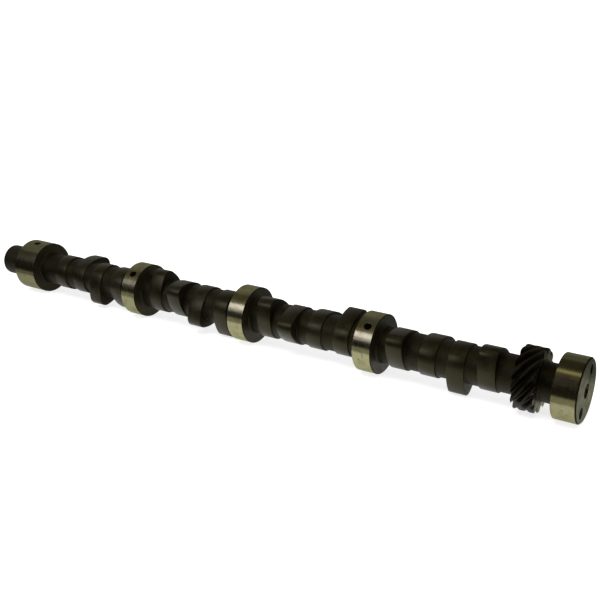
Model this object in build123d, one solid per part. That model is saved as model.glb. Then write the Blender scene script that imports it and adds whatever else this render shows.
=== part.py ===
import os
from math import acos, atan2, cos, degrees, hypot, pi, radians, sin, tan

from build123d import *

# Camshaft of a 90 degree V8, cast in one piece and then turned, hobbed and ground.
# It lies along X: the flat face of its gear end is at x = 0 and its nose points to -X. +Z is up.
# Angles about the shaft are in degrees from +Y towards +Z, which is clockwise seen from the nose.

# Bearing journals, numbered 1 to 5 from the nose
journal_radius = 25.4
journal_pitch = 127.0            # between the centres of journals 2, 3 and 4
journal_width = 17.0             # of journals 2, 3 and 4
journal_chamfer = 0.5
first_journal_width = 28.2
first_journal_reach = 130.5      # from the centre of journal 2 to the near side of journal 1
last_journal_width = 19.1
last_journal_reach = 174.4       # from the centre of journal 4 to the end face
end_chamfer = 1.0                # round the end face

# Core between the journals, left as cast
core_radius = 15.5
journal_fillet = 2.0
lobe_fillet = 0.6

# Nose beyond journal 1
nose_radius = 15.2
nose_length = 30.4
nose_chamfer = 1.0
nose_fillet = 0.8

# Cam lobes: a base circle, two flank arcs and a toe arc, each tangent to the next
lobe_width = 14.4
lobe_chamfer = 0.5
base_step = 1.3                  # height of the base circle above the core
toe_clearance = 0.2              # toes stay under the journals, which slide through their bearings
toe_radius = 8.3
half_action = 79.0               # from the toe to the point where a flank leaves the base circle

# Timing of the lobes
cylinder_count = 8
firing_order = (1, 2, 7, 3, 4, 5, 6, 8)
bank_angle = 90.0                # the even cylinders' lifters stand this far on
lobe_separation = 114.0          # exhaust toe ahead of the same cylinder's intake toe
first_intake_toe = 234.0

# Places of the lobes: each bay between two journals holds two of each valve's lobes, side by side
intake_spacing = 26.6
exhaust_spacing = 25.8
valve_spacing = 24.3             # between the inner intake lobe and the inner exhaust lobe
lobe_set_lead = 1.4              # of a bay's lobes past its middle, towards the end face
exhaust_shift = 0.95             # of a bay's lobes towards its exhaust side

# Helical drive gear with an involute tooth form
gear_teeth = 13
gear_width = 17.2
gear_gap = 13.15                 # between the gear and journal 5
gear_clearance = 0.2             # tooth tips stay under the journals
gear_helix_angle = 56.0          # left hand, at the pitch circle
gear_pressure_angle = 20.0       # in the section normal to the tooth
gear_root_clearance = 0.25       # in modules
gear_phase = 13.4                # of one tooth's middle, half way along the gear
gear_chamfer = 0.8
gear_fillet = 1.5
gear_overrun = 0.3               # of the hobbed form past the gear's blank

# Tapped holes in the end face, at the size of their tap drill
bolt_circle = 34.0
bolt_count = 2
bolt_drill_radius = 3.97
bolt_mouth_radius = 4.8
bolt_mouth_angle = 120.0         # across the countersink
bolt_hole_floor = 2.7            # left in journal 5 below the drill's point
bolt_angle = 58.6

# Lathe centre in each end
centre_mouth_radius = 5.9
centre_relief_depth = 0.8
centre_cone_angle = 60.0
centre_drill_radius = 2.5
centre_drill_depth = 13.0

# Oil passages drilled straight through the journals
oil_hole_radius = 3.15
oil_mouth_radius = 3.5
oil_hole_angles = {1: 99.0, 2: 129.0, 4: 129.0}
oil_hole_lead = {1: 0.0, 2: 0.0, 4: 1.2}     # past the journal's middle, towards the end face

drill_point_angle = 118.0
match_tolerance = 0.001          # in finding an edge by its place

# Worked out from the sizes above
base_radius = core_radius + base_step
lift = journal_radius - toe_clearance - base_radius
gear_tip_radius = journal_radius - gear_clearance
last_journal_side = -last_journal_width
journal_centres = {4: -last_journal_reach}
journal_centres[3] = journal_centres[4] - journal_pitch
journal_centres[2] = journal_centres[3] - journal_pitch
first_journal_side = journal_centres[2] - first_journal_reach
nose_root = first_journal_side - first_journal_width
nose_end = nose_root - nose_length
journal_centres[1] = nose_root + first_journal_width / 2
journal_spans = {
    1: (nose_root, first_journal_side),
    5: (last_journal_side, 0.0),
}
for number in (2, 3, 4):
    journal_spans[number] = (
        journal_centres[number] - journal_width / 2,
        journal_centres[number] + journal_width / 2,
    )
gear_span = (last_journal_side - gear_gap - gear_width, last_journal_side - gear_gap)
end_face = Plane.YZ
nose_face = Plane(origin=(nose_end, 0, 0), x_dir=(0, 1, 0), z_dir=(-1, 0, 0))


def turned(radius, span):
    # Plain cylinder about the shaft's axis
    start, stop = span
    return Pos(X=(start + stop) / 2) * Rot(Y=90) * Cylinder(radius, stop - start)


def journals():
    made = []
    for number, span in journal_spans.items():
        journal = turned(journal_radius, span)
        ends = journal.edges().filter_by(GeomType.CIRCLE).sort_by(Axis.X)
        journal = chamfer(ends[0], journal_chamfer)
        rim = journal.edges().filter_by(GeomType.CIRCLE).sort_by(Axis.X)[-1]
        made.append(chamfer(rim, end_chamfer if number == 5 else journal_chamfer))
    return made


def nose():
    blank = turned(nose_radius, (nose_end, nose_root))
    rim = blank.edges().filter_by(GeomType.CIRCLE).sort_by(Axis.X)[0]
    return chamfer(rim, nose_chamfer)


def lobe_section():
    # The toe points along local +X. Each flank's centre lies on the far side of the shaft's axis
    # from the point where the flank leaves the base circle.
    action = radians(half_action)
    toe_centre = base_radius + lift - toe_radius
    radius_step = base_radius - toe_radius
    flank_offset = (toe_centre**2 - radius_step**2) / (2 * (radius_step - toe_centre * cos(action)))
    flank_radius = base_radius + flank_offset
    centre_x = -flank_offset * cos(action)
    centre_y = flank_offset * sin(action)
    toe_angle = degrees(atan2(centre_y, toe_centre - centre_x))
    flank_arc = half_action - toe_angle
    return make_face([
        CenterArc((0, 0), base_radius, half_action, 360 - 2 * half_action),
        CenterArc((centre_x, centre_y), flank_radius, -half_action, flank_arc),
        CenterArc((toe_centre, 0), toe_radius, -toe_angle, 2 * toe_angle),
        CenterArc((centre_x, -centre_y), flank_radius, toe_angle, flank_arc),
    ])


def lobe_places():
    # Centre and toe angle of every lobe. In each bay the exhaust lobes come first or last by turns,
    # and of two like lobes the odd cylinder's is nearer the nose.
    places = []
    bay_starts = (journal_centres[2] - journal_pitch, *(journal_centres[n] for n in (2, 3, 4)))
    for bay, bay_start in enumerate(bay_starts):
        exhaust_side = -1 if bay % 2 == 0 else 1
        middle = bay_start + journal_pitch / 2 + lobe_set_lead + exhaust_side * exhaust_shift
        valves = (
            (exhaust_side, exhaust_spacing, lobe_separation),
            (-exhaust_side, intake_spacing, 0.0),
        )
        for side, spacing, advance in valves:
            inner = middle + side * valve_spacing / 2
            outer = inner + side * spacing
            for is_even, centre in enumerate(sorted((inner, outer))):
                step = firing_order.index(2 * bay + 1 + is_even)
                toe = first_intake_toe + is_even * bank_angle - step * 360 / cylinder_count
                places.append((centre, toe + advance))
    return places


def lobes():
    lobe = extrude(Plane.YZ * lobe_section(), lobe_width / 2, both=True)
    sides = lobe.edges().group_by(Axis.X)
    lobe = chamfer(sides[0] + sides[-1], lobe_chamfer)
    return [Pos(X=centre) * Rot(X=toe) * lobe for centre, toe in lobe_places()]


def involute(angle):
    return tan(angle) - angle


def gear_section(pitch_radius, module, tip_radius):
    # Transverse section: involute flanks between the tip circle and a rounded root
    flank_start = pitch_radius - module
    root_radius = flank_start - gear_root_clearance * module
    transverse_pressure = atan2(tan(radians(gear_pressure_angle)), cos(radians(gear_helix_angle)))
    involute_base = pitch_radius * cos(transverse_pressure)
    base_half_tooth = pi / (2 * gear_teeth) + involute(transverse_pressure)

    def half_tooth(radius):
        return base_half_tooth - involute(acos(involute_base / radius))

    def point(radius, angle):
        return (radius * cos(angle), radius * sin(angle))

    edges = []
    tooth_step = 2 * pi / gear_teeth
    for tooth in range(gear_teeth):
        middle = tooth * tooth_step
        radii = (flank_start, pitch_radius, tip_radius)
        rising = [point(radius, middle - half_tooth(radius)) for radius in radii]
        falling = [point(radius, middle + half_tooth(radius)) for radius in reversed(radii)]
        next_flank = point(flank_start, middle + tooth_step - half_tooth(flank_start))
        edges += [
            ThreePointArc(*rising),
            ThreePointArc(rising[-1], point(tip_radius, middle), falling[0]),
            ThreePointArc(*falling),
            ThreePointArc(falling[-1], point(root_radius, middle + tooth_step / 2), next_flank),
        ]
    return make_face(edges)


def gear():
    # The twisted form stands past the blank all round, and the blank trims it to size
    helix = radians(gear_helix_angle)
    module = 2 * gear_tip_radius * cos(helix) / (gear_teeth + 2 * cos(helix))
    pitch_radius = gear_tip_radius - module
    form_width = gear_width + 2 * gear_overrun
    twist = degrees(form_width * tan(helix) / pitch_radius)
    section = gear_section(pitch_radius, module, gear_tip_radius + gear_overrun)
    section = Plane.YZ * Rot(Z=gear_phase + twist / 2) * section
    form = Solid.extrude_linear_with_rotation(section.face(), (0, 0, 0), (form_width, 0, 0), -twist)
    blank = turned(gear_tip_radius, gear_span)
    blank = chamfer(blank.edges().filter_by(GeomType.CIRCLE), gear_chamfer)
    return blank & (Pos(X=gear_span[0] - gear_overrun) * form)


def cone_depth(radius_step, angle):
    return radius_step / tan(radians(angle / 2))


def point_depth(radius):
    return cone_depth(radius, drill_point_angle)


def drill_form(outline):
    # Hole bored along local -Z from its mouth, given as (radius, depth) steps and ended by the
    # drill's point
    last_radius, last_depth = outline[-1]
    tip_depth = last_depth + point_depth(last_radius)
    points = [(0, 0), *((radius, -depth) for radius, depth in outline), (0, -tip_depth)]
    return revolve(Plane.XZ * make_face(Polyline(points, close=True)), Axis.Z)


def bolt_holes():
    mouth_depth = cone_depth(bolt_mouth_radius - bolt_drill_radius, bolt_mouth_angle)
    depth = last_journal_width - bolt_hole_floor - point_depth(bolt_drill_radius)
    hole = drill_form([
        (bolt_mouth_radius, 0),
        (bolt_drill_radius, mouth_depth),
        (bolt_drill_radius, depth),
    ])
    spots = PolarLocations(bolt_circle / 2, bolt_count, start_angle=bolt_angle)
    return [end_face.location * spot * hole for spot in spots]


def lathe_centres():
    seat_depth = cone_depth(centre_mouth_radius - centre_drill_radius, centre_cone_angle)
    centre = drill_form([
        (centre_mouth_radius, 0),
        (centre_mouth_radius, centre_relief_depth),
        (centre_drill_radius, centre_relief_depth + seat_depth),
        (centre_drill_radius, centre_drill_depth),
    ])
    return [face.location * centre for face in (end_face, nose_face)]


def oil_holes():
    # Each passage is drilled from both sides and meets in the middle of the journal
    mouth_depth = oil_mouth_radius - oil_hole_radius
    half = drill_form([
        (oil_mouth_radius, 0),
        (oil_hole_radius, mouth_depth),
        (oil_hole_radius, journal_radius),
    ])
    made = []
    for number, angle in oil_hole_angles.items():
        place = Pos(X=journal_centres[number] + oil_hole_lead[number])
        for side in (0, 180):
            made.append(place * Rot(X=angle + side - 90) * Pos(Z=journal_radius) * half)
    return made


def root_edges(shaft, radius, places):
    # Circles of the given radius where a side face at one of the places meets the shaft
    found = []
    for edge in shaft.edges().filter_by(GeomType.CIRCLE):
        centre = edge.arc_center
        is_coaxial = hypot(centre.Y, centre.Z) < match_tolerance
        is_root = abs(edge.radius - radius) < match_tolerance
        if is_coaxial and is_root and any(abs(centre.X - x) < match_tolerance for x in places):
            found.append(edge)
    return found


core = turned(core_radius, (nose_root + first_journal_width / 2, last_journal_side / 2))
camshaft = core + journals() + [nose(), gear()] + lobes()

journal_sides = [side for span in journal_spans.values() for side in span]
lobe_sides = [centre + side * lobe_width / 2 for centre, toe in lobe_places() for side in (-1, 1)]
camshaft = fillet(root_edges(camshaft, core_radius, journal_sides), journal_fillet)
camshaft = fillet(root_edges(camshaft, core_radius, gear_span), gear_fillet)
camshaft = fillet(root_edges(camshaft, core_radius, lobe_sides), lobe_fillet)
camshaft = fillet(root_edges(camshaft, nose_radius, [nose_root]), nose_fillet)
camshaft = camshaft - bolt_holes() - lathe_centres() - oil_holes()

os.makedirs("parts", exist_ok=True)
export_step(camshaft, "parts/camshaft.step")
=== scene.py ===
import math

import bpy
from mathutils import Matrix, Vector


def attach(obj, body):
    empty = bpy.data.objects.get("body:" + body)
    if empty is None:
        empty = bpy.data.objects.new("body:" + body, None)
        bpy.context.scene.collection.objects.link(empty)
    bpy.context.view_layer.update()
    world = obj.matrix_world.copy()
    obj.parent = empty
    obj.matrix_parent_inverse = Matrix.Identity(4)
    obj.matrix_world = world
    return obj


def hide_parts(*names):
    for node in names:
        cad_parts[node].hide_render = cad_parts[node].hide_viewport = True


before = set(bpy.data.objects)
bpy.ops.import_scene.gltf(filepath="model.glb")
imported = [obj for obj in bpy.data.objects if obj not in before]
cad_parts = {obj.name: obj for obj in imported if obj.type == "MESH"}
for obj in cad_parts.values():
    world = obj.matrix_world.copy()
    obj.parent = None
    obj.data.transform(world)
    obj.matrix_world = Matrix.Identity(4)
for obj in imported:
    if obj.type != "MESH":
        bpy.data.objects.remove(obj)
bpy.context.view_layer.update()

mm = 0.001
degree = math.pi / 180
fullTurn = 2 * math.pi
axisX = (1, 0, 0)
axisZ = (0, 0, 1)
weldGap = 0.002 * mm       # vertices of a finished mesh that lie closer are one
outlineGap = 0.01 * mm     # the same on an outline of arcs


def clearSelection():
    if bpy.context.object and bpy.context.object.mode != "OBJECT":
        bpy.ops.object.mode_set(mode="OBJECT")
    bpy.ops.object.select_all(action="DESELECT")


def pickOnly(piece):
    clearSelection()
    piece.select_set(True)
    bpy.context.view_layer.objects.active = piece


def startOutline(name, point):
    # a plane merged to one loose vertex, moved to where the outline starts
    clearSelection()
    bpy.ops.mesh.primitive_plane_add(size=0.01, location=(0, 0, 0))
    piece = bpy.context.object
    piece.name = piece.data.name = name
    bpy.ops.object.mode_set(mode="EDIT")
    bpy.ops.mesh.select_mode(type="VERT")
    bpy.ops.mesh.select_all(action="SELECT")
    bpy.ops.mesh.merge(type="CENTER")
    bpy.ops.transform.translate(value=point)
    return piece


def drawOutline(name, start, moves):
    # a move is a point to draw a line to, or (centre, axis, angle, steps) for an arc
    piece = startOutline(name, start)
    at = Vector(start)
    for move in moves:
        if len(move) == 4:
            centre, axis, angle, steps = move
            # the spin operator turns against the right-hand rule
            bpy.ops.mesh.spin(steps=steps, angle=-angle, center=centre, axis=axis)
            centre = Vector(centre)
            at = centre + Matrix.Rotation(angle, 3, axis) @ (at - centre)
        else:
            bpy.ops.mesh.extrude_vertices_move(TRANSFORM_OT_translate={"value": Vector(move) - at})
            at = Vector(move)
    return piece


def weld(gap=weldGap):
    bpy.ops.mesh.select_all(action="SELECT")
    bpy.ops.mesh.remove_doubles(threshold=gap)


def tidyMesh():
    weld()
    bpy.ops.mesh.normals_make_consistent(inside=False)
    bpy.ops.object.mode_set(mode="OBJECT")


def turnOnLathe(name, start, moves, steps):
    # the outline in the XY plane, spun all round the X axis
    piece = drawOutline(name, start, moves)
    bpy.ops.mesh.select_all(action="SELECT")
    bpy.ops.mesh.spin(steps=steps, angle=fullTurn, center=(0, 0, 0), axis=axisX)
    tidyMesh()
    return piece


def applyModifier(piece, kind, **settings):
    pickOnly(piece)
    modifier = piece.modifiers.new(kind.title(), kind)
    for key, value in settings.items():
        setattr(modifier, key, value)
    bpy.ops.object.modifier_apply(modifier=modifier.name)


def cutWith(piece, cutter, operation="DIFFERENCE"):
    applyModifier(piece, "BOOLEAN", operation=operation, solver="EXACT", object=cutter)


def copyPiece(source, name, matrix):
    copy = source.copy()
    copy.data = source.data.copy()
    copy.name = copy.data.name = name
    copy.data.transform(matrix)
    bpy.context.collection.objects.link(copy)
    return copy


def discard(*pieces):
    for piece in pieces:
        mesh = piece.data
        bpy.data.objects.remove(piece)
        bpy.data.meshes.remove(mesh)


def smoothFaces(piece, angle=32):
    pickOnly(piece)
    bpy.ops.object.shade_smooth_by_angle(angle=angle * degree)


# Sizes shared by the pieces, in millimetres
shaft = {
    "coreRadius": 15.5,
    "journalRadius": 25.4,
    "journalChamfer": 0.5,
    "endChamfer": 1.0,
    "journalFillet": 2.0,
    "filletSteps": 8,
    "filletSink": 0.03,    # of a fillet's foot below the core's skin
    "latheSteps": 224,
    "overlap": 4.0,        # of the core's bars into the journals
}
# left and right side of each journal, numbered from the nose
journalSpans = {
    1: (-587.1, -558.9),
    2: (-436.9, -419.9),
    3: (-309.9, -292.9),
    4: (-182.9, -165.9),
    5: (-19.1, 0.0),
}


def makeJournal(number):
    left, right = (edge * mm for edge in journalSpans[number])
    radius = shaft["journalRadius"] * mm
    core = shaft["coreRadius"] * mm
    fillet = shaft["journalFillet"] * mm
    chamfer = shaft["journalChamfer"] * mm
    crown = core - shaft["filletSink"] * mm + fillet
    steps = shaft["filletSteps"]
    moves = []
    if number == 1:
        start = (left, 0, 0)
        moves += [(left, radius - chamfer, 0)]
    else:
        start = (left - fillet, 0, 0)
        moves += [
            (left - fillet, crown - fillet, 0),
            ((left - fillet, crown, 0), axisZ, 90 * degree, steps),
            (left, radius - chamfer, 0),
        ]
    moves += [(left + chamfer, radius, 0)]
    if number == 5:
        chamfer = shaft["endChamfer"] * mm
        moves += [(right - chamfer, radius, 0), (right, radius - chamfer, 0), (right, 0, 0)]
    else:
        moves += [
            (right - chamfer, radius, 0),
            (right, radius - chamfer, 0),
            (right, crown, 0),
            ((right + fillet, crown, 0), axisZ, 90 * degree, steps),
            (right + fillet, 0, 0),
        ]
    return turnOnLathe(f"journal_{number}", start, moves, shaft["latheSteps"])


journalPieces = {number: makeJournal(number) for number in journalSpans}
print("journals turned")

# Cam lobes, with the toe of the first one drawn along +Y
lobe = {
    "width": 14.4,
    "baseRadius": 16.8,
    "lift": 8.4,
    "toeRadius": 8.3,
    "halfAction": 79.0,
    "edge": 0.5,
    "edgeSteps": 3,
    "edgeAngle": 60.0,
    "baseSteps": 72,
    "flankSteps": 14,
    "toeSteps": 26,
    "rootFillet": 0.6,
}
# centre along the shaft and angle of the toe from +Y towards +Z
lobePlaces = [
    (-529.4, 348), (-503.6, 33), (-479.3, 234), (-452.7, 279),
    (-401.3, 99), (-374.7, 144), (-350.4, 213), (-324.6, 258),
    (-275.4, 123), (-249.6, 168), (-225.3, 9), (-198.7, 54),
    (-147.3, 144), (-120.7, 9), (-96.4, 258), (-70.6, 123),
]


def makeLobe():
    action = lobe["halfAction"] * degree
    base = lobe["baseRadius"] * mm
    toe = lobe["toeRadius"] * mm
    toeCentre = base + lobe["lift"] * mm - toe
    step = base - toe
    offset = (toeCentre ** 2 - step ** 2) / (2 * (step - toeCentre * math.cos(action)))
    flankY = -offset * math.cos(action)
    flankZ = offset * math.sin(action)
    toeAngle = math.atan2(flankZ, toeCentre - flankY)
    side = -lobe["width"] / 2 * mm
    arcs = [
        ((side, 0, 0), axisX, fullTurn - 2 * action, lobe["baseSteps"]),
        ((side, flankY, flankZ), axisX, action - toeAngle, lobe["flankSteps"]),
        ((side, toeCentre, 0), axisX, 2 * toeAngle, lobe["toeSteps"]),
        ((side, flankY, -flankZ), axisX, action - toeAngle, lobe["flankSteps"]),
    ]
    piece = drawOutline("lobe", (side, base * math.cos(action), base * math.sin(action)), arcs)
    weld(outlineGap)
    bpy.ops.mesh.edge_face_add()
    bpy.ops.mesh.extrude_region_move(TRANSFORM_OT_translate={"value": (lobe["width"] * mm, 0, 0)})
    tidyMesh()
    applyModifier(
        piece, "BEVEL", width=lobe["edge"] * mm, segments=lobe["edgeSteps"], limit_method="ANGLE",
        angle_limit=lobe["edgeAngle"] * degree, harden_normals=False,
    )
    return piece


firstLobe = makeLobe()
lobePieces = []
for order, (centre, toe) in enumerate(lobePlaces, start=1):
    place = Matrix.Translation((centre * mm, 0, 0)) @ Matrix.Rotation(toe * degree, 4, "X")
    lobePieces.append(copyPiece(firstLobe, f"lobe_{order:02d}", place))
discard(firstLobe)
print("lobes made", len(lobePieces))

# Helical gear: involute teeth, left hand
gear = {
    "teeth": 13,
    "tipRadius": 25.2,
    "span": (-49.45, -32.25),
    "helixAngle": 56.0,
    "pressureAngle": 20.0,
    "rootClearance": 0.25,
    "phase": 13.4,
    "chamfer": 0.8,
    "fillet": 1.5,
    "overrun": 0.3,
    "flankSteps": 5,
    "twistSteps": 30,
    "blankSteps": 208,
    "tipShares": (-0.33, 0.33),                  # of half a tooth's width at the tip
    "rootShares": (0.12, 0.3, 0.5, 0.7, 0.88),   # of the gap between two teeth
    "rootSharpness": 3,
}


def makeGear():
    teeth = gear["teeth"]
    helix = gear["helixAngle"] * degree
    tip = gear["tipRadius"] * mm
    left, right = (edge * mm for edge in gear["span"])
    module = 2 * tip * math.cos(helix) / (teeth + 2 * math.cos(helix))
    pitch = tip - module
    flankStart = pitch - module
    root = flankStart - gear["rootClearance"] * module
    pressure = math.atan2(math.tan(gear["pressureAngle"] * degree), math.cos(helix))
    involuteBase = pitch * math.cos(pressure)
    overrun = gear["overrun"] * mm
    formWidth = right - left + 2 * overrun
    twist = formWidth * math.tan(helix) / pitch
    start = left - overrun
    formTip = tip + overrun

    def involute(angle):
        return math.tan(angle) - angle

    def halfTooth(radius):
        return math.pi / (2 * teeth) + involute(pressure) - involute(math.acos(involuteBase / radius))

    def spot(radius, angle):
        angle += gear["phase"] * degree + twist / 2
        return (start, radius * math.cos(angle), radius * math.sin(angle))

    toothStep = fullTurn / teeth
    steps = gear["flankSteps"]
    radii = [flankStart + (formTip - flankStart) * i / steps for i in range(steps + 1)]
    outline = [spot(radius, -halfTooth(radius)) for radius in radii]
    outline += [spot(formTip, halfTooth(formTip) * share) for share in gear["tipShares"]]
    outline += [spot(radius, halfTooth(radius)) for radius in reversed(radii)]
    gapHalf = toothStep / 2 - halfTooth(flankStart)
    for share in gear["rootShares"]:
        depth = 1 - abs(2 * share - 1) ** gear["rootSharpness"]
        angle = halfTooth(flankStart) + 2 * gapHalf * share
        outline.append(spot(flankStart + (root - flankStart) * depth, angle))
    outline.append(spot(flankStart, toothStep - halfTooth(flankStart)))
    piece = drawOutline("drive_gear", outline[0], outline[1:])
    bpy.ops.mesh.select_all(action="SELECT")
    bpy.ops.mesh.spin(steps=teeth, angle=fullTurn, center=(0, 0, 0), axis=axisX, dupli=True)
    weld(outlineGap)
    bpy.ops.object.mode_set(mode="OBJECT")
    applyModifier(
        piece, "SCREW", axis="X", angle=-twist, screw_offset=formWidth, iterations=1,
        steps=gear["twistSteps"], render_steps=gear["twistSteps"], use_smooth_shade=False,
    )
    for edge in (start, start + formWidth):
        bpy.ops.object.mode_set(mode="EDIT")
        bpy.ops.mesh.select_all(action="DESELECT")
        bpy.ops.object.mode_set(mode="OBJECT")
        for vertex in piece.data.vertices:
            vertex.select = abs(vertex.co.x - edge) < outlineGap
        bpy.ops.object.mode_set(mode="EDIT")
        bpy.ops.mesh.edge_face_add()
    tidyMesh()
    chamfer = gear["chamfer"] * mm
    blank = turnOnLathe("blank", (left, 0, 0), [
        (left, tip - chamfer, 0),
        (left + chamfer, tip, 0),
        (right - chamfer, tip, 0),
        (right, tip - chamfer, 0),
        (right, 0, 0),
    ], gear["blankSteps"])
    cutWith(piece, blank, "INTERSECT")
    discard(blank)
    return piece


gearPiece = makeGear()
print("gear cut")

# Core between the journals, with a rounded collar wherever a side face stands on it
collar = {
    "sink": 0.02,      # of a collar into the face above it
    "steps": 6,
}


def collars():
    # each as (place, way that the side faces, fillet)
    found = []
    for centre, toe in lobePlaces:
        for way in (-1, 1):
            found.append((centre + way * lobe["width"] / 2, way, lobe["rootFillet"]))
    for way, place in zip((-1, 1), gear["span"]):
        found.append((place, way, gear["fillet"]))
    return sorted(found)


def makeCore(number, left, right):
    core = shaft["coreRadius"]
    steps = collar["steps"]
    moves = [(left * mm, core * mm, 0)]
    for place, way, fillet in collars():
        if not left < place < right:
            continue
        at = place - way * collar["sink"]
        foot = at + way * fillet
        crown = core + fillet
        if way < 0:
            moves += [
                (foot * mm, core * mm, 0),
                ((foot * mm, crown * mm, 0), axisZ, 90 * degree, steps),
            ]
        else:
            moves += [
                (at * mm, crown * mm, 0),
                ((foot * mm, crown * mm, 0), axisZ, 90 * degree, steps),
            ]
    moves += [(right * mm, core * mm, 0), (right * mm, 0, 0)]
    return turnOnLathe(f"core_{number}", (left * mm, 0, 0), moves, shaft["latheSteps"])


corePieces = []
for number in (1, 2, 3, 4):
    left = journalSpans[number][1] - shaft["overlap"]
    right = journalSpans[number + 1][0] + shaft["overlap"]
    corePieces.append(makeCore(number, left, right))
print("core turned")

nose = {
    "radius": 15.2,
    "end": -617.5,
    "chamfer": 1.0,
    "fillet": 0.8,
    "filletTurn": 85.0,
    "filletSteps": 6,
    "overlap": 2.0,        # into journal 1
}


def makeNose():
    radius = nose["radius"] * mm
    end = nose["end"] * mm
    chamfer = nose["chamfer"] * mm
    fillet = nose["fillet"] * mm
    root = journalSpans[1][0] * mm
    sunk = root + nose["overlap"] * mm
    return turnOnLathe("nose", (end, 0, 0), [
        (end, radius - chamfer, 0),
        (end + chamfer, radius, 0),
        (root - fillet, radius, 0),
        ((root - fillet, radius + fillet, 0), axisZ, nose["filletTurn"] * degree, nose["filletSteps"]),
        (sunk, radius + fillet, 0),
        (sunk, 0, 0),
    ], shaft["latheSteps"])


nosePiece = makeNose()
print("nose turned")

# Holes: a cutter is turned about X with its mouth at x = 0 and the hole towards -X, then put in place.
# Rings are (depth, radius), from outside the mouth inwards.
holes = {
    "cutterSteps": 48,
    "pointSlope": 0.6,
    "oilRings": [(-1.0, 3.8), (-0.25, 3.8), (0.35, 3.15), (26.0, 3.15)],
    "oilAngles": {1: 99, 2: 129, 4: 129},
    "oilCentres": {1: -573.0, 2: -428.4, 4: -173.2},
    "centreRings": [(-1.0, 5.9), (0.8, 5.9), (6.7, 2.5), (13.0, 2.5)],
    "boltRings": [(-1.0, 6.5), (0.48, 3.97), (14.0, 3.97)],
    "boltCircle": 34.0,
    "boltAngles": (58.6, 238.6),
}
thread = {
    "start": 0.9,
    "sink": 0.06,          # of the groove's open side past the bolt hole's wall
    "grooveRadius": 4.74,
    "pitch": 1.5875,
    "turns": 8,
    "turnSteps": 36,
    "floorShares": (0.46, 0.54),   # of the pitch, between which the groove is deepest
    "width": 0.96,                 # of the pitch, at the wall
}


def makeCutter(name, rings):
    lastDepth, lastRadius = rings[-1]
    moves = [(-depth * mm, radius * mm, 0) for depth, radius in rings]
    moves.append((-(lastDepth + lastRadius * holes["pointSlope"]) * mm, 0, 0))
    return turnOnLathe(name, (-rings[0][0] * mm, 0, 0), moves, holes["cutterSteps"])


def makeThreadRidge():
    # the section of one groove, wound up the hole's wall
    wallRadius = holes["boltRings"][-1][1]
    inner = (wallRadius - thread["sink"]) * mm
    outer = thread["grooveRadius"] * mm
    pitch = thread["pitch"] * mm
    start = thread["start"] * mm
    nearShare, farShare = thread["floorShares"]
    ridge = drawOutline("threadRidge", (start, inner, 0), [
        (start + nearShare * pitch, outer, 0),
        (start + farShare * pitch, outer, 0),
        (start + thread["width"] * pitch, inner, 0),
        (start, inner, 0),
    ])
    weld()
    bpy.ops.object.mode_set(mode="OBJECT")
    applyModifier(
        ridge, "SCREW", axis="X", angle=fullTurn, screw_offset=-pitch, iterations=thread["turns"],
        steps=thread["turnSteps"], render_steps=thread["turnSteps"], use_smooth_shade=False,
    )
    bpy.ops.object.mode_set(mode="EDIT")
    weld()
    bpy.ops.mesh.fill_holes(sides=4)
    tidyMesh()
    return ridge


def drill(piece, source, matrix):
    cutter = copyPiece(source, "cutter", matrix)
    cutWith(piece, cutter)
    discard(cutter)


oilCutter = makeCutter("oilCutter", holes["oilRings"])
lift = Matrix.Translation((shaft["journalRadius"] * mm, 0, 0))
for number, angle in holes["oilAngles"].items():
    centre = Matrix.Translation((holes["oilCentres"][number] * mm, 0, 0))
    for side in (0, 180):
        outward = Matrix.Rotation((angle + side) * degree, 4, "X") @ Matrix.Rotation(90 * degree, 4, "Z")
        drill(journalPieces[number], oilCutter, centre @ outward @ lift)

centreCutter = makeCutter("centreCutter", holes["centreRings"])
drill(journalPieces[5], centreCutter, Matrix.Identity(4))
noseEnd = Matrix.Translation((nose["end"] * mm, 0, 0)) @ Matrix.Rotation(180 * degree, 4, "Z")
drill(nosePiece, centreCutter, noseEnd)

boltCutter = makeCutter("boltCutter", holes["boltRings"])
threadRidge = makeThreadRidge()
outwards = Matrix.Translation((0, holes["boltCircle"] / 2 * mm, 0))
for angle in holes["boltAngles"]:
    for source in (boltCutter, threadRidge):
        drill(journalPieces[5], source, Matrix.Rotation(angle * degree, 4, "X") @ outwards)
discard(oilCutter, centreCutter, boltCutter, threadRidge)
print("holes bored")

# Finishes
def shaderOf(finish):
    return finish.node_tree.nodes["Principled BSDF"]


def newFinish(name, colour, metallic, roughness, specular=0.5, tint=None):
    finish = bpy.data.materials.new(name)
    finish.use_nodes = True
    sockets = shaderOf(finish).inputs
    sockets["Base Color"].default_value = (*colour, 1)
    sockets["Metallic"].default_value = metallic
    sockets["Roughness"].default_value = roughness
    sockets["Specular IOR Level"].default_value = specular
    if tint:
        sockets["Specular Tint"].default_value = (*tint, 1)
    return finish


def addNode(finish, kind, inputs, **settings):
    tree = finish.node_tree
    node = tree.nodes.new(kind)
    for key, value in settings.items():
        setattr(node, key, value)
    for name, value in inputs.items():
        if isinstance(value, bpy.types.NodeSocket):
            tree.links.new(value, node.inputs[name])
        else:
            node.inputs[name].default_value = value
    return node


def patternSpot(finish, scale, centre=(0, 0, 0)):
    # object coordinates about a centre, times a scale along each axis
    spot = addNode(finish, "ShaderNodeTexCoord", {}).outputs["Object"]
    moved = addNode(finish, "ShaderNodeVectorMath", {0: spot, 1: centre}, operation="SUBTRACT")
    scaled = addNode(finish, "ShaderNodeVectorMath", {0: moved.outputs[0], 1: scale}, operation="MULTIPLY")
    return scaled.outputs[0]


def lengthOf(finish, spot):
    return addNode(finish, "ShaderNodeVectorMath", {0: spot}, operation="LENGTH").outputs["Value"]


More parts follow.
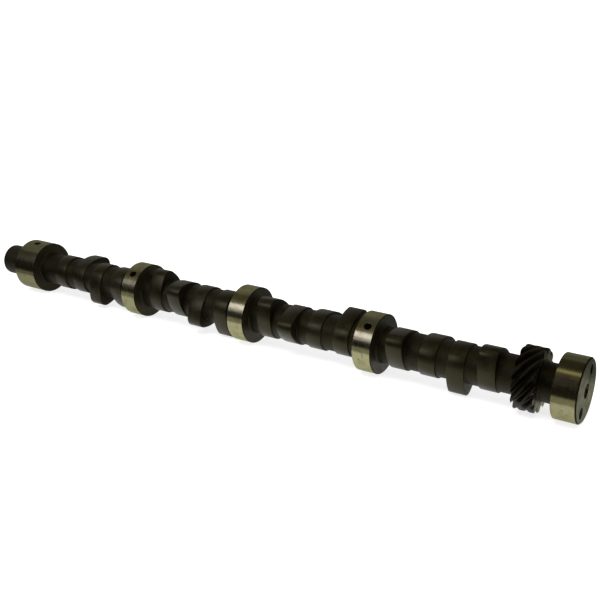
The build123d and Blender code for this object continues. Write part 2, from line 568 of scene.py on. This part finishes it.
def grain(finish, scale, detail, roughness=0.55):
    spot = patternSpot(finish, scale if isinstance(scale, tuple) else (scale,) * 3)
    noise = addNode(finish, "ShaderNodeTexNoise", {
        "Vector": spot, "Scale": 1.0, "Detail": detail, "Roughness": roughness,
    })
    return noise.outputs["Fac"]


def mapRange(finish, value, low, high, toLow=0.0, toHigh=1.0):
    return addNode(finish, "ShaderNodeMapRange", {
        "Value": value, "From Min": low, "From Max": high, "To Min": toLow, "To Max": toHigh,
    }, clamp=True).outputs["Result"]


def calculate(finish, operation, first, second):
    return addNode(finish, "ShaderNodeMath", {0: first, 1: second}, operation=operation).outputs[0]


def blendColour(finish, share, first, second):
    # the mix node takes its colours in sockets 6 and 7 and gives one out of socket 2
    def asColour(value):
        return value if isinstance(value, bpy.types.NodeSocket) else (*value, 1)

    sockets = {0: share, 6: asColour(first), 7: asColour(second)}
    return addNode(finish, "ShaderNodeMix", sockets, data_type="RGBA").outputs[2]


def darken(colour, share):
    return tuple(value * share for value in colour)


def raiseBumps(finish, height, depth, under=None):
    inputs = {"Height": height, "Distance": depth * mm, "Strength": 1.0}
    if under is not None:
        inputs["Normal"] = under
    return addNode(finish, "ShaderNodeBump", inputs).outputs["Normal"]


def feed(finish, **sockets):
    for name, value in sockets.items():
        finish.node_tree.links.new(value, shaderOf(finish).inputs[name.replace("_", " ")])


# In the finishes' dictionaries a grain is (scale per metre, detail), a range is (from, from, to, to)
# or (from, from), and a depth is in millimetres.
ground = {
    "roughness": 0.2,
    "tint": (0.7, 0.7, 0.6),           # of grazing reflections
    "stainGrain": ((150, 190, 190), 4),
    "stainRange": (0.46, 0.72, 0, 0.55),
    "speckGrain": (950, 1),
    "speckRange": (0.7, 0.77, 0, 0.5),
    "speckShade": 0.3,                 # of the stain's colour
    "raggedGrain": (1800, 2),
    "raggedShare": 0.8,                # of a mark's reach
    "markRange": (1.1, 1.4),
    "markShade": 0.2,                  # of the stain's colour
    "lineGrain": ((4200, 60, 60), 3),
    "lineRoughness": (0.3, 0.7, 0.15, 0.27),
    "lineDepth": 0.0035,
    "waveGrain": ((120, 160, 160), 2),
}


def groundFinish(name, colour, stain, marks=(), markShare=0.7, waveDepth=0.045):
    # ground steel: fine lines round the shaft, faint stains, and marks given by centre and reach
    finish = newFinish(name, colour, 1.0, ground["roughness"], tint=ground["tint"])
    stains = mapRange(finish, grain(finish, *ground["stainGrain"]), *ground["stainRange"])
    specks = mapRange(finish, grain(finish, *ground["speckGrain"]), *ground["speckRange"])
    shade = blendColour(finish, stains, colour, stain)
    shade = blendColour(finish, specks, shade, darken(stain, ground["speckShade"]))
    for centre, size in marks:
        scale = tuple(1 / (value * mm) for value in size)
        reach = lengthOf(finish, patternSpot(finish, scale, tuple(value * mm for value in centre)))
        ragged = calculate(finish, "MULTIPLY", grain(finish, *ground["raggedGrain"]), ground["raggedShare"])
        mark = mapRange(finish, calculate(finish, "ADD", reach, ragged), *ground["markRange"], markShare, 0)
        shade = blendColour(finish, mark, shade, darken(stain, ground["markShade"]))
    lines = grain(finish, *ground["lineGrain"])
    wave = grain(finish, *ground["waveGrain"])
    feed(
        finish,
        Base_Color=shade,
        Roughness=mapRange(finish, lines, *ground["lineRoughness"]),
        Normal=raiseBumps(finish, lines, ground["lineDepth"], raiseBumps(finish, wave, waveDepth)),
    )
    return finish


coating = {
    "tint": (1, 0.92, 0.45),
    "patchGrain": (130, 4),
    "patchRange": (0.4, 0.7),
    "patchRoughness": (-0.04, 0.08),   # added to the coat's own
    "fineGrain": (1500, 3),
    "fineRange": (0.35, 0.65, 0, 0.5),
    "fineShade": 0.55,                 # of the coat's colour
    "fineDepth": 0.35,                 # of the coarse grain's
    "coarseGrain": (520, 3),
    "lineGrain": ((3600, 45, 45), 3),
}


def coatedFinish(name, colour, worn, roughness, specular, grainDepth, lineDepth=0.0):
    # dark phosphate coat over cast or ground iron
    finish = newFinish(name, colour, 0.0, roughness, specular, coating["tint"])
    patches = mapRange(finish, grain(finish, *coating["patchGrain"]), *coating["patchRange"])
    fine = grain(finish, *coating["fineGrain"])
    coarse = grain(finish, *coating["coarseGrain"])
    shade = blendColour(finish, patches, colour, worn)
    fineShare = mapRange(finish, fine, *coating["fineRange"])
    shade = blendColour(finish, fineShare, shade, darken(colour, coating["fineShade"]))
    bumps = raiseBumps(finish, fine, grainDepth * coating["fineDepth"])
    bumps = raiseBumps(finish, coarse, grainDepth, bumps)
    if lineDepth:
        bumps = raiseBumps(finish, grain(finish, *coating["lineGrain"]), lineDepth, bumps)
    smoother, rougher = (roughness + change for change in coating["patchRoughness"])
    feed(
        finish,
        Base_Color=shade,
        Roughness=mapRange(finish, patches, 0, 1, smoother, rougher),
        Normal=bumps,
    )
    return finish


faced = {
    "roughness": 0.4,
    "tint": (0.48, 0.48, 0.42),        # of grazing reflections
    "ringsPerMetre": 3600,
    "ringDetail": 2.0,
    "ringDepth": 0.004,
    "filmGrain": (160, 4),
    "filmRange": (0.4, 0.7),
    "filmRoughness": (0, 1, 0.36, 0.5),
}


def facedFinish(name, colour, filmColour):
    # turned end face: rings about the axis and a dull grey film
    finish = newFinish(name, colour, 1.0, faced["roughness"], tint=faced["tint"])
    radius = lengthOf(finish, patternSpot(finish, (0, 1, 1)))
    rings = addNode(finish, "ShaderNodeTexNoise", {
        "W": calculate(finish, "MULTIPLY", radius, faced["ringsPerMetre"]),
        "Scale": 1.0,
        "Detail": faced["ringDetail"],
    }, noise_dimensions="1D").outputs["Fac"]
    film = mapRange(finish, grain(finish, *faced["filmGrain"]), *faced["filmRange"])
    feed(
        finish,
        Base_Color=blendColour(finish, film, colour, filmColour),
        Roughness=mapRange(finish, film, *faced["filmRoughness"]),
        Normal=raiseBumps(finish, rings, faced["ringDepth"]),
    )
    return finish


# near-black colours of the hole walls, a painted shade of the holes' depth, mottled at random
bored = {
    "cleanInShade": (0.022, 0.019, 0.012),
    "dirtyInShade": (0.008, 0.007, 0.005),
    "dirtGrain": (700, 3),
    "dirtRange": (0.4, 0.65),
    "pitGrain": (2400, 2),
    "pitDepth": 0.01,
}


def shadedHoleFinish():
    # drilled and tapped walls painted near black: painted shade of the holes' depth, with a random mottle
    finish = newFinish("shadedHole", (0.02, 0.017, 0.011), 0.3, 0.5, 0.2)
    dirt = mapRange(finish, grain(finish, *bored["dirtGrain"]), *bored["dirtRange"])
    feed(
        finish,
        Base_Color=blendColour(finish, dirt, bored["cleanInShade"], bored["dirtyInShade"]),
        Normal=raiseBumps(finish, grain(finish, *bored["pitGrain"]), bored["pitDepth"]),
    )
    return finish


steel = (0.265, 0.257, 0.142)
stainBrown = (0.15, 0.115, 0.052)
groundSteel = groundFinish("groundSteel", steel, stainBrown)
groundMarked = groundFinish("groundSteelMarked", steel, stainBrown, marks=[
    ((-172.9, -25.2, -2.8), (0.45, 2, 3.4)),
    ((-176.7, -24.4, -7.0), (0.9, 2, 0.9)),
    ((-178.9, -24.6, 6.3), (1.5, 2, 0.9)),
    ((-172.8, -24.6, 6.2), (1.1, 2, 1.0)),
])
groundEnd = groundFinish("groundSteelEnd", (0.235, 0.226, 0.125), stainBrown, marks=[
    ((-10.1, -23.9, -8.6), (1.3, 2, 0.8)),
    ((-6.9, -22.4, -12.0), (0.9, 2, 0.6)),
], markShare=0.4, waveDepth=0.075)
# a darker copy of the ground steel for journal 1 at the nose end: painted shade
groundShadedCopy = groundFinish("groundSteelShadedCopy", (0.25, 0.243, 0.136), (0.14, 0.108, 0.05))
# colour, worn colour, roughness, specular, depth of the grain and of any lines round the shaft
coats = {
    "castCoat": ((0.0044, 0.0035, 0.0016), (0.0085, 0.007, 0.0034), 0.5, 0.2, 0.12),
    # the core past the gear, up to journal 5, is painted darker: painted shade in the gap between the gear
    # and the journal
    "gapShadeCoat": ((0.0022, 0.0015, 0.0008), (0.0048, 0.003, 0.0017), 0.48, 0.19, 0.12),
    "camCoat": ((0.0052, 0.0042, 0.0019), (0.0098, 0.0084, 0.0042), 0.33, 0.3, 0.025, 0.006),
    "sideCoat": ((0.0055, 0.0043, 0.0021), (0.0095, 0.0078, 0.004), 0.46, 0.16, 0.06),
    "journalSide": ((0.0115, 0.009, 0.0046), (0.0175, 0.0145, 0.0085), 0.42, 0.25, 0.06),
    # the chamfers that face +X are painted near black with little gloss: a painted shadow along the
    # journals' edges
    "chamferShadowCoat": ((0.0035, 0.003, 0.0016), (0.005, 0.0042, 0.0024), 0.55, 0.06, 0.03),
    "gearCoat": ((0.0035, 0.003, 0.0018), (0.0065, 0.006, 0.004), 0.42, 0.15, 0.05),
}
coatFinishes = {name: coatedFinish(name, *values) for name, values in coats.items()}
gearEnd = facedFinish("gearEnd", (0.34, 0.335, 0.25), (0.14, 0.137, 0.1))
facedEnd = facedFinish("facedEnd", (0.15, 0.148, 0.11), (0.11, 0.108, 0.078))
centreCone = newFinish("centreCone", (0.05, 0.048, 0.028), 1.0, 0.4)
shadedHole = shadedHoleFinish()

# Which finish a face takes: a tilt is its normal along +X, a depth is below the journal's radius
# or the end face, in millimetres
dressing = {
    "skinDepth": 0.5,
    "skinTilts": (-0.9, 0.5),
    "edgeDepth": 1.0,
    "edgeTilts": (0.5, 0.9),
    "sideTilt": 0.95,
    "sideMargin": 0.1,
    "endTilt": 0.999,
    "endDepth": 0.01,
    "holeTilt": 0.98,
    "holeRim": 1.2,
    "holeDepth": 17.0,
    "coneRadii": (2.6, 6.0),
    "coneDepth": 7.0,
    "noseHoleRadius": 6.0,
    "noseHoleTilt": 0.9,
    "noseHoleDepth": 13.5,
    "lobeSideTilt": 0.75,
    "gearEndTilt": 0.9,
}


def dress(piece, *rules):
    # each rule is (finish, test of a face's place, radius and tilt); the first that holds is used
    piece.data.materials.clear()
    for finish, test in rules:
        piece.data.materials.append(finish)
    tests = [test for finish, test in rules]
    for face in piece.data.polygons:
        x = face.center.x / mm
        radius = math.hypot(face.center.y, face.center.z) / mm
        tilt = face.normal.x
        face.material_index = next(slot for slot, test in enumerate(tests) if test(x, radius, tilt))


def anywhere(x, radius, tilt):
    return True


def isOnEndFace(x, radius, tilt):
    return tilt > dressing["endTilt"] and x > -dressing["endDepth"]


def isOnCone(x, radius, tilt):
    inner, outer = dressing["coneRadii"]
    return inner < radius < outer and x > -dressing["coneDepth"] and tilt < dressing["holeTilt"]


def isInEndHole(x, radius, tilt):
    inward = radius < shaft["journalRadius"] - dressing["holeRim"] and x > -dressing["holeDepth"]
    return inward and abs(tilt) < dressing["holeTilt"]


def isInNoseHole(x, radius, tilt):
    inward = radius < dressing["noseHoleRadius"] and x < nose["end"] + dressing["noseHoleDepth"]
    return inward and tilt < dressing["noseHoleTilt"]


def isOnSkin(x, radius, tilt):
    low, high = dressing["skinTilts"]
    return radius > shaft["journalRadius"] - dressing["skinDepth"] and low < tilt < high


def isOnEdge(x, radius, tilt):
    low, high = dressing["edgeTilts"]
    return radius > shaft["journalRadius"] - dressing["edgeDepth"] and low < tilt < high


def dressJournal(number, skin):
    left, right = journalSpans[number]
    margin = dressing["sideMargin"]

    def isOutside(x, radius, tilt):
        return not left + margin < x < right - margin

    def isOnSide(x, radius, tilt):
        return abs(tilt) > dressing["sideTilt"] and isOutside(x, radius, tilt)

    rules = [
        (skin, isOnSkin),
        # painted shadow: the chamfers that face +X take the near-black chamfer coat
        (coatFinishes["chamferShadowCoat"], isOnEdge),
        (coatFinishes["journalSide"], isOnSide),
        (coatFinishes["sideCoat"], isOutside),
        # the faces left over, the holes' walls, take the painted hole shade
        (shadedHole, anywhere),
    ]
    if number == 5:
        # the end face's tapped holes also take the painted hole shade
        rules = [(facedEnd, isOnEndFace), (centreCone, isOnCone), (shadedHole, isInEndHole), *rules]
    dress(journalPieces[number], *rules)


# journal 1 takes the darker copy of the ground steel, painted shade at the nose end
skins = {1: groundShadedCopy, 2: groundSteel, 3: groundSteel, 4: groundMarked, 5: groundEnd}
for number, skin in skins.items():
    dressJournal(number, skin)
for piece in corePieces:
    dress(
        piece,
        # painted shade: the core past the gear takes the darker gap coat
        (coatFinishes["gapShadeCoat"], lambda x, radius, tilt: x > gear["span"][1]),
        (coatFinishes["castCoat"], anywhere),
    )
# the nose's centre hole takes the painted hole shade
dress(nosePiece, (shadedHole, isInNoseHole), (coatFinishes["castCoat"], anywhere))
for piece in lobePieces:
    dress(
        piece,
        (coatFinishes["sideCoat"], lambda x, radius, tilt: abs(tilt) > dressing["lobeSideTilt"]),
        (coatFinishes["camCoat"], anywhere),
    )
dress(
    gearPiece,
    (gearEnd, lambda x, radius, tilt: abs(tilt) > dressing["gearEndTilt"]),
    (coatFinishes["gearCoat"], anywhere),
)
print("finishes made")

for piece in [*journalPieces.values(), *corePieces, nosePiece, *lobePieces, gearPiece]:
    smoothFaces(piece)
    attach(piece, "root")
    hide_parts("camshaft")

# Studio: pale floor, cards that only the metal's gloss shows, one soft lamp
studio = {
    "floorSize": 60,
    "floorShade": 0.5,
    "floorRoughness": 0.9,
    "floorLift": 0.76,
    "farShade": 0.54,
    "farStretch": (-0.62, -0.3),
    "skyForDiffuse": 0.62,
    "cardStep": 4,             # degrees of arc
}


def glowingFinish(name, colour, strength):
    finish = bpy.data.materials.new(name)
    finish.use_nodes = True
    finish.node_tree.nodes.clear()
    glow = addNode(finish, "ShaderNodeEmission", {"Color": (*colour, 1), "Strength": strength})
    addNode(finish, "ShaderNodeOutputMaterial", {"Surface": glow.outputs[0]})
    return finish


def seenRays(finish):
    # 1 for camera, glossy and transmission rays, 0 for the others
    path = addNode(finish, "ShaderNodeLightPath", {})
    gloss = calculate(finish, "MAXIMUM", path.outputs["Is Glossy Ray"], path.outputs["Is Transmission Ray"])
    return calculate(finish, "MAXIMUM", path.outputs["Is Camera Ray"], gloss)


def makeFloor():
    clearSelection()
    height = -shaft["journalRadius"] * mm
    bpy.ops.mesh.primitive_plane_add(size=studio["floorSize"], location=(0, 0, height))
    floor = bpy.context.object
    floor.name = "floor"
    # away from the camera's own rays the floor is dimmer towards the nose end
    shade = studio["floorShade"]
    finish = newFinish("paleFloor", (shade, shade, shade), 0.0, studio["floorRoughness"], 0.0)
    shaderOf(finish).inputs["Emission Color"].default_value = (1, 1, 1, 1)
    spot = patternSpot(finish, (1, 1, 1))
    along = addNode(finish, "ShaderNodeSeparateXYZ", {"Vector": spot}).outputs["X"]
    dimmed = mapRange(finish, along, *studio["farStretch"], studio["farShade"], 1.0)
    path = addNode(finish, "ShaderNodeLightPath", {})
    share = calculate(finish, "MAXIMUM", path.outputs["Is Camera Ray"], dimmed)
    lift = calculate(finish, "MULTIPLY", seenRays(finish), studio["floorLift"])
    feed(
        finish,
        Base_Color=calculate(finish, "MULTIPLY", share, shade),
        Emission_Strength=calculate(finish, "MULTIPLY", lift, share),
    )
    floor.data.materials.append(finish)


def makeCard(name, fromAngle, toAngle, reach, span, colour, strength):
    # an arc of card about the shaft's axis, from one angle above the back floor to another
    left, right = span
    start = (left, reach * math.cos(fromAngle * degree), reach * math.sin(fromAngle * degree))
    turn = toAngle - fromAngle
    steps = max(2, round(turn / studio["cardStep"]))
    card = drawOutline(name, start, [((left, 0, 0), axisX, turn * degree, steps)])
    bpy.ops.mesh.select_all(action="SELECT")
    bpy.ops.mesh.extrude_region_move(TRANSFORM_OT_translate={"value": (right - left, 0, 0)})
    bpy.ops.object.mode_set(mode="OBJECT")
    card.data.materials.append(glowingFinish(name, colour, strength))
    card.visible_camera = False
    card.visible_diffuse = False
    card.visible_shadow = False
    card.visible_transmission = False


makeFloor()
grey = (1, 0.98, 0.9)
gold = (1, 0.92, 0.6)
cool = (0.74, 0.7, 0.98)
brown = (1, 0.86, 0.74)
# stretches along the shaft's axis, in metres
everywhere = (-3.5, 2.5)
farHalf = (-3.5, -0.8)
nearHalf = (-0.8, 2.5)
middle = (-0.98, -0.36)
overGear = (-0.32, 0.5)
pastNose = (-2.6, -1.3)
frontFar = (-0.9, -0.5)
frontMiddle = (-0.5, -0.075)
frontNear = (-0.07, 0.2)
# name, first and last angle, distance from the axis, stretch, colour, strength
cards = [
    ("backFar", -2, 66, 1.0, (-1.42, -0.8), grey, 0.42),
    ("backEnd", -2, 66, 1.0, (-3.5, -1.42), grey, 0.34),
    ("backNear", -2, 52, 1.0, nearHalf, grey, 0.36),
    ("backLow", 52, 66, 1.0, nearHalf, grey, 0.22),
    ("backFlag", -18, 24, 0.08, (-1.2, 0.6), grey, 0.24),
    ("topFar", 66, 84, 1.0, farHalf, grey, 0.32),
    ("topNear", 66, 84, 1.0, nearHalf, grey, 0.14),
    ("darkTop", 84, 116, 1.0, everywhere, gold, 0.14),
    ("frontTop", 116, 130, 1.0, everywhere, gold, 0.28),
    ("frontHigh", 130, 160, 1.0, everywhere, grey, 0.09),
    ("darkFront", 160, 182, 1.0, everywhere, grey, 0.07),
    ("stripBox", 131, 150, 0.8, middle, cool, 3.9),
    ("stripFade", 150, 161, 0.8, middle, cool, 1.5),
    ("stripFar", 131, 152, 0.8, (-1.27, -0.98), cool, 1.0),
    ("nearBack", 24, 56, 0.8, overGear, grey, 0.22),
    ("nearTop", 56, 103, 0.8, overGear, gold, 0.065),
    ("nearStrip", 103, 113, 0.8, overGear, gold, 1.05),
    ("nearBrown", 113, 130, 0.8, overGear, brown, 0.15),
    ("nearDark", 130, 178, 0.8, overGear, brown, 0.03),
    ("farTop", 40, 104, 0.8, pastNose, grey, 0.29),
    ("farFront", 104, 146, 0.8, pastNose, grey, 0.07),
    ("farDark", 146, 178, 0.8, pastNose, grey, 0.02),
    ("frontFlag", 163, 181, 0.055, frontMiddle, grey, 0.035),
    ("frontFoot", 181, 196, 0.055, frontMiddle, grey, 0.5),
    ("nearFlag", 160, 187, 0.055, frontNear, brown, 0.03),
    ("nearFoot", 187, 206, 0.055, frontNear, grey, 0.6),
    ("farFlag", 163, 190, 0.055, frontFar, grey, 0.02),
    ("farFoot", 190, 205, 0.055, frontFar, grey, 0.3),
]
for card in cards:
    makeCard(*card)

softLamp = {
    "size": (1.8, 0.9),
    "power": 26.0,
    "place": (-0.6, -0.7, 1.5),
    "aim": (-0.3, 0.7, -1.5),
}
lampData = bpy.data.lights.new("softLamp", "AREA")
lampData.shape = "RECTANGLE"
lampData.size, lampData.size_y = softLamp["size"]
lampData.energy = softLamp["power"]
lamp = bpy.data.objects.new("softLamp", lampData)
lamp.location = softLamp["place"]
lamp.rotation_euler = Vector(softLamp["aim"]).to_track_quat("-Z", "Y").to_euler()
lamp.visible_glossy = False
bpy.context.scene.collection.objects.link(lamp)

view = {
    "lens": 52.84,
    "sensor": 36,
    "clipEnd": 100,
    "place": (0.13979, -0.60439, 0.27740),
    "downwards": 19.496,
    "heading": 32.735,
}
cameraData = bpy.data.cameras.new("camera")
cameraData.lens = view["lens"]
cameraData.sensor_width = view["sensor"]
cameraData.clip_end = view["clipEnd"]
camera = bpy.data.objects.new("camera", cameraData)
camera.location = view["place"]
camera.rotation_euler = ((90 - view["downwards"]) * degree, 0, view["heading"] * degree)
bpy.context.scene.collection.objects.link(camera)
bpy.context.scene.camera = camera

world = bpy.data.worlds.new("studio")
bpy.context.scene.world = world
world.use_nodes = True
background = world.node_tree.nodes["Background"]
background.inputs["Color"].default_value = (1, 1, 1, 1)
skyLight = mapRange(world, seenRays(world), 0, 1, studio["skyForDiffuse"], 1)
world.node_tree.links.new(skyLight, background.inputs["Strength"])
bpy.context.scene.view_settings.view_transform = "Standard"
print("studio set")
